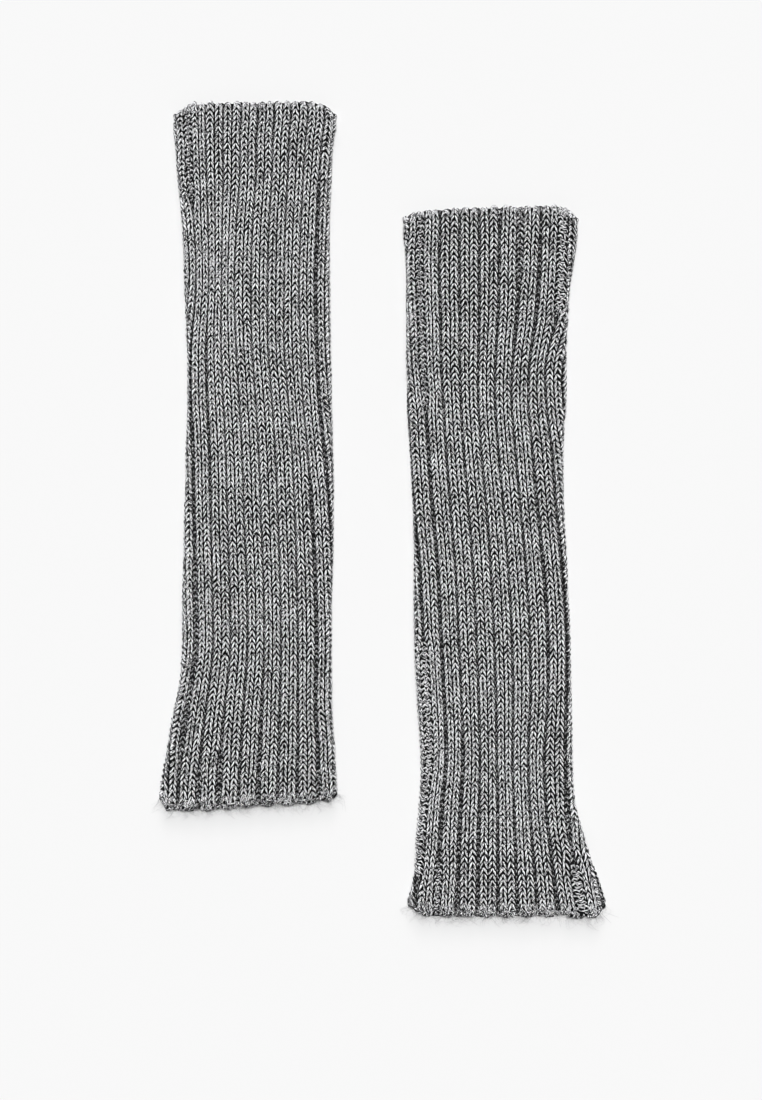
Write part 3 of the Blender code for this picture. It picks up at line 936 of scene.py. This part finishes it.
def fibre_lines(tube, rng):
    """The routes of fine loose hairs, long at the arm end and short elsewhere."""
    at_arm = rng.uniform(size=EDGE_FIBRES) < ARM_END_SHARE
    edge_down = np.where(at_arm, LENGTH - 1.0 * MM, 1.5 * MM)
    down = np.concatenate([edge_down, rng.uniform(0, LENGTH, BODY_FIBRES)])
    count = len(down)
    rib = rng.uniform(0, RIB_COUNT, count)
    out = rng.uniform(*FIBRE_ROOTS, count) * MM
    tip_out = out + rng.uniform(*FIBRE_LIFTS, count) * MM
    edge_length = rng.uniform(*EDGE_LENGTHS, EDGE_FIBRES)
    length = np.concatenate([edge_length, rng.uniform(*BODY_LENGTHS, BODY_FIBRES)]) * MM
    length = np.where(down < LENGTH / 2, np.minimum(length, SHORT_FIBRE), length)
    forward = np.where(down > LENGTH / 2, 1, -1) * length * rng.uniform(0.5, 1.0, count)
    forward[EDGE_FIBRES:] = 0.0
    sideways = rng.normal(0, FIBRE_SLANT, count) * length
    curl = rng.normal(0, FIBRE_CURL, count) * length

    steps = np.linspace(0, 1, FIBRE_STEPS)
    root, tip = tube.place(rib, down, out), tube.place(rib, down, tip_out)
    lines = root[:, None] + (tip - root)[:, None] * steps[:, None]
    lines[..., 0] += sideways[:, None] * steps + curl[:, None] * np.sin(math.pi * steps)
    lines[..., 1] -= forward[:, None] * steps
    lines[..., 2] -= FIBRE_SAG * length[:, None] * steps ** 2
    lines[..., 2] = np.clip(lines[..., 2], FIBRE_LOW, FIBRE_HIGH)
    return lines


def fibres(tube, rng):
    """All loose hairs of a mitten as one mesh of thin tapering tubes."""
    lines = fibre_lines(tube, rng)
    direction = np.gradient(lines, axis=1)
    direction /= np.linalg.norm(direction, axis=-1, keepdims=True) + 1e-12
    side = np.cross(direction, (0.0, 0.0, 1.0))
    side /= np.linalg.norm(side, axis=-1, keepdims=True) + 1e-12
    lift = np.cross(side, direction)
    angles = 2 * math.pi * np.arange(FIBRE_SIDES)[:, None] / FIBRE_SIDES
    ring = np.cos(angles) * side[:, :, None] + np.sin(angles) * lift[:, :, None]
    radius = np.linspace(FIBRE_RADIUS, FIBRE_RADIUS / 2, FIBRE_STEPS)
    points = lines[:, :, None] + radius[:, None, None] * ring

    first = np.arange(len(lines))[:, None] * FIBRE_STEPS * FIBRE_SIDES
    last = first + (FIBRE_STEPS - 1) * FIBRE_SIDES
    (step, corner), _ = spindle_faces(FIBRE_STEPS, FIBRE_SIDES)
    quads = first[..., None] + step * FIBRE_SIDES + corner % FIBRE_SIDES
    triangles = np.concatenate([first + [0, 1, 2], last + [0, 2, 1]])
    return make_mesh(
        tube.mitten.name + "_fibres", points.reshape(-1, 3), quads.reshape(-1, 4), triangles
    )


# ---- materials


class Nodes:
    """Short hand for building a material's node tree."""

    def __init__(self, name, **shader_values):
        self.material = bpy.data.materials.new(name)
        self.material.use_nodes = True
        self.tree = self.material.node_tree
        self.shader = self.tree.nodes["Principled BSDF"]
        for socket, value in shader_values.items():
            self.shader.inputs[socket.replace("_", " ")].default_value = value

    def add(self, kind, **settings):
        node = self.tree.nodes.new(kind)
        for key, value in settings.items():
            setattr(node, key, value)
        return node

    def link(self, source, target):
        self.tree.links.new(source, target)

    def math(self, operation, first, second=None, third=None):
        node = self.add("ShaderNodeMath", operation=operation)
        for socket, value in zip(node.inputs, (first, second, third)):
            if value is None:
                continue
            if isinstance(value, (int, float)):
                socket.default_value = value
            else:
                self.link(value, socket)
        return node.outputs[0]

    def ramp(self, factor, stops):
        """Grey from stops of position and brightness."""
        node = self.add("ShaderNodeValToRGB")
        elements = node.color_ramp.elements
        while len(elements) < len(stops):
            elements.new(0.5)
        for element, (position, grey) in zip(elements, stops):
            element.position = position
            element.color = (grey, grey, grey * 1.02, 1.0)
        self.link(factor, node.inputs[0])
        return node.outputs[0]

    def noise(self, scale, detail=2.0, roughness=0.5, vector=None):
        """Noise over a vector, or over the object's own coordinates."""
        if vector is None:
            vector = self.add("ShaderNodeTexCoord").outputs["Object"]
        node = self.add("ShaderNodeTexNoise")
        node.inputs["Scale"].default_value = scale
        node.inputs["Detail"].default_value = detail
        node.inputs["Roughness"].default_value = roughness
        self.link(vector, node.inputs["Vector"])
        return node.outputs["Fac"]

    def bump(self, height, strength, distance):
        node = self.add("ShaderNodeBump")
        node.inputs["Strength"].default_value = strength
        node.inputs["Distance"].default_value = distance
        self.link(height, node.inputs["Height"])
        self.link(node.outputs[0], self.shader.inputs["Normal"])


FIBRE_WINDING = 0.08  # turns of the fibres round the yarn for each TWIST along it
STROKES_ROUND = 3.5  # light and dark strands side by side round the yarn
STREAKS_ROUND = 1.25  # streaks round the yarn, as the radius of their noise
STREAKS_ALONG = 1.5  # and along it, for each TWIST
FINE_SCALE = 2.3  # of the fine streaks' noise
PATCH_SCALE = 170.0  # of the noise that makes patches of wool lighter and darker
LENGTH_APART = 61.0  # sets the noise of one length of yarn apart from the next
STROKES_APART = 9.0  # and its strands

# What moves the wool's level, which is about 0.5 in the middle of its greys: how far at most,
# and a number added to that
STROKE_LEVEL = 0.42
FINE_LEVEL = (1.4, -0.66)
PATCH_LEVEL = (0.30, -0.05)
TONE_LEVEL = (0.20, -0.10)  # of a whole length of yarn
TURNED_PAINTED_SHADE = -0.50  # painted shade where the yarn turns away from outwards
PAINTED_SHADE_DEEP = (-1.0 * MM, -0.50)  # painted shade: a rise, and how far the level is moved at it and below
PAINTED_LIGHT_HIGH = (1.7 * MM, 0.04)  # painted light: the same at it and above

YARN_GREYS = [(0.0, 0.008), (0.28, 0.07), (0.5, 0.32), (0.7, 0.74), (0.88, 0.93)]
# painted shade: the wool seen deep between the stitches, coloured near black
INNER_PAINTED_SHADE_GREYS = [(0.0, 0.004), (0.45, 0.010), (0.75, 0.03), (1.0, 0.07)]
FIBRE_GREYS = [(0.3, 0.08), (0.7, 0.50)]


def marled_yarn():
    """Grey marl: light and dark plies twisted together, with fine fibres along them, and painted
    shade.
    """
    nodes = Nodes(
        "marled_wool_yarn", Roughness=0.78, Specular_IOR_Level=0.12, Sheen_Weight=0.08,
        Sheen_Roughness=0.45,
    )
    turn = 2 * math.pi
    strand = nodes.add("ShaderNodeAttribute", attribute_name="strand")
    parts = nodes.add("ShaderNodeSeparateXYZ")
    nodes.link(strand.outputs["Vector"], parts.inputs[0])
    along, around, tone = parts.outputs

    # fibres run along the yarn and wind slowly round it
    winding = nodes.math("MULTIPLY_ADD", along, FIBRE_WINDING, around)
    angle = nodes.math("MULTIPLY", winding, turn)
    lengthways = nodes.math("MULTIPLY", along, STREAKS_ALONG)
    streaks = nodes.add("ShaderNodeCombineXYZ")
    for socket, value in (
        ("X", nodes.math("MULTIPLY_ADD", tone, LENGTH_APART, lengthways)),
        ("Y", nodes.math("MULTIPLY", nodes.math("COSINE", angle), STREAKS_ROUND)),
        ("Z", nodes.math("MULTIPLY", nodes.math("SINE", angle), STREAKS_ROUND)),
    ):
        nodes.link(value, streaks.inputs[socket])
    place = streaks.outputs[0]
    uneven = nodes.math("MULTIPLY", nodes.noise(1.0, 0.0, 0.5, place), 2.0)
    apart = nodes.math("MULTIPLY", tone, STROKES_APART)
    strokes = nodes.math("MULTIPLY_ADD", winding, STROKES_ROUND, apart)
    strokes = nodes.math("MULTIPLY", nodes.math("ADD", strokes, uneven), turn)
    broad = nodes.math("MULTIPLY", nodes.math("SINE", strokes), STROKE_LEVEL)
    fine = nodes.math("MULTIPLY_ADD", nodes.noise(FINE_SCALE, 1.0, 0.6, place), *FINE_LEVEL)
    marl = nodes.math("ADD", broad, nodes.math("ADD", fine, 0.5))
    patches = nodes.math("MULTIPLY_ADD", nodes.noise(PATCH_SCALE, 0.0), *PATCH_LEVEL)
    level = nodes.math("ADD", marl, patches)
    level = nodes.math("ADD", level, nodes.math("MULTIPLY_ADD", tone, *TONE_LEVEL))

    # painted shade: the wool is coloured darker the deeper it lies between the stitches, a little
    # lighter where highest
    rise = nodes.add("ShaderNodeAttribute", attribute_name="rise")
    painted_depth_shade = nodes.add("ShaderNodeMapRange", interpolation_type="SMOOTHSTEP")
    painted_depth_shade.inputs["From Min"].default_value, painted_depth_shade.inputs["To Min"].default_value = PAINTED_SHADE_DEEP
    painted_depth_shade.inputs["From Max"].default_value, painted_depth_shade.inputs["To Max"].default_value = PAINTED_LIGHT_HIGH
    nodes.link(rise.outputs["Fac"], painted_depth_shade.inputs["Value"])
    level = nodes.math("ADD", level, painted_depth_shade.outputs[0])
    # painted shade: the yarn's sides and underside, turned away from outwards, are coloured darker
    outwards = nodes.math("COSINE", nodes.math("MULTIPLY", around, turn))
    away = nodes.math("SUBTRACT", 1.0, nodes.math("MAXIMUM", outwards, 0.0))
    level = nodes.math("MULTIPLY_ADD", nodes.math("POWER", away, 2.0), TURNED_PAINTED_SHADE, level)
    nodes.link(nodes.ramp(level, YARN_GREYS), nodes.shader.inputs["Base Color"])
    nodes.bump(marl, 0.6, 0.12 * MM)
    return nodes.material


def inner_knit_painted_shade():
    """The cloth seen between the stitches: the same wool, coloured near black as painted shade."""
    nodes = Nodes("inner_wool", Roughness=0.95, Specular_IOR_Level=0.05)
    level = nodes.math("MULTIPLY_ADD", nodes.noise(420.0, 4.0, 0.6), 0.9, 0.05)
    nodes.link(nodes.ramp(level, INNER_PAINTED_SHADE_GREYS), nodes.shader.inputs["Base Color"])
    nodes.bump(nodes.noise(600.0, 3.0), 0.8, 0.3 * MM)
    return nodes.material


def loose_fibre():
    """Single hairs: pale grey, some darker."""
    nodes = Nodes("loose_wool_fibre", Roughness=0.6)
    nodes.link(nodes.ramp(nodes.noise(90.0), FIBRE_GREYS), nodes.shader.inputs["Base Color"])
    return nodes.material


# ---- putting it together


def dress(item, material):
    """Gives a piece its material, and lets it ride."""
    item.data.materials.append(material)
    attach(item, "root")
    return item


def build_mitten(mitten, yarn, inner, hair):
    rng = np.random.default_rng(mitten.seed)
    tube = Tube(mitten)
    name = mitten.name

    # the sheet's material is painted shade: near-black wool seen deep between the stitches
    cloth = dress(sheet(tube), inner)
    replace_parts(cloth, name + "_tube")

    knit = knit_stitches(tube, rng)
    purl = purl_stitches(tube, rng)
    pieces = []
    for layer in LAYER_SIDES:
        for kind, parts in (("knit", knit[layer]), ("purl", purl[layer])):
            stitches = make_mesh(f"{name}_{layer}_{kind}_stitches", *join(parts))
            pieces.append(dress(stitches, yarn))

    cast_on = make_mesh(name + "_cast_on_loops", *join(cast_on_edge(tube, rng)))
    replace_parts(dress(cast_on, yarn), name + "_finger_band")
    bind_off = make_mesh(name + "_bind_off_chain", *join(bind_off_edge(tube, rng)))
    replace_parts(dress(bind_off, yarn), name + "_arm_band")
    loose = dress(fibres(tube, rng), hair)
    pieces += [cast_on, bind_off, loose]


# ---- floor, light and camera

FLOOR_HALF = 3.0
FLOOR_GREY = 0.865
ROOM_LIGHT = 0.12

# The softboxes: their strength, and in degrees how wide they are and how far they are tilted,
# less than 0 towards the finger ends
LIGHTS = [("overhead_softbox", 2.75, 14, -8), ("far_softbox", 0.62, 24, -58)]

CAMERA_HEIGHT = 2.2  # above the mittens' upper face
FRAME_HEIGHT = 0.561  # what the picture's long side takes in there
FRAME_MIDDLE = (-0.0008, -0.0201)
SENSOR = 36.0  # the sensor's long side, in mm
FILM_FILTER = 1.0  # width of the film's filter


def add_floor():
    floor = add_object("floor", bpy.data.meshes.new("floor"))
    corners = [(x * FLOOR_HALF, y * FLOOR_HALF, 0) for x, y in ((-1, -1), (1, -1), (1, 1), (-1, 1))]
    floor.data.from_pydata(corners, [], [(0, 1, 2, 3)])
    grey = (FLOOR_GREY, FLOOR_GREY, FLOOR_GREY, 1.0)
    nodes = Nodes("pale_floor", Base_Color=grey, Roughness=1.0, Specular_IOR_Level=0.0)
    floor.data.materials.append(nodes.material)


def add_lights():
    for name, energy, width, tilt in LIGHTS:
        lamp = bpy.data.lights.new(name, "SUN")
        lamp.energy = energy
        lamp.angle = math.radians(width)
        add_object(name, lamp).rotation_euler = (math.radians(tilt), 0.0, 0.0)
    world = bpy.data.worlds.new("soft_room")
    world.use_nodes = True
    background = world.node_tree.nodes["Background"]
    background.inputs["Color"].default_value = (1, 1, 1, 1)
    background.inputs["Strength"].default_value = ROOM_LIGHT
    bpy.context.scene.world = world


def add_camera():
    """A camera straight above."""
    camera = bpy.data.cameras.new("camera")
    camera.sensor_width = SENSOR
    camera.lens = SENSOR * CAMERA_HEIGHT / FRAME_HEIGHT
    eye = add_object("camera", camera)
    eye.location = (*FRAME_MIDDLE, CAMERA_HEIGHT + 2 * MIDDLE_Z)
    scene = bpy.context.scene
    scene.camera = eye
    scene.view_settings.view_transform = "Standard"
    scene.cycles.filter_width = FILM_FILTER


def main():
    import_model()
    yarn, inner, hair = marled_yarn(), inner_knit_painted_shade(), loose_fibre()
    add_floor()
    add_lights()
    add_camera()
    for mitten in MITTENS:
        build_mitten(mitten, yarn, inner, hair)


main()
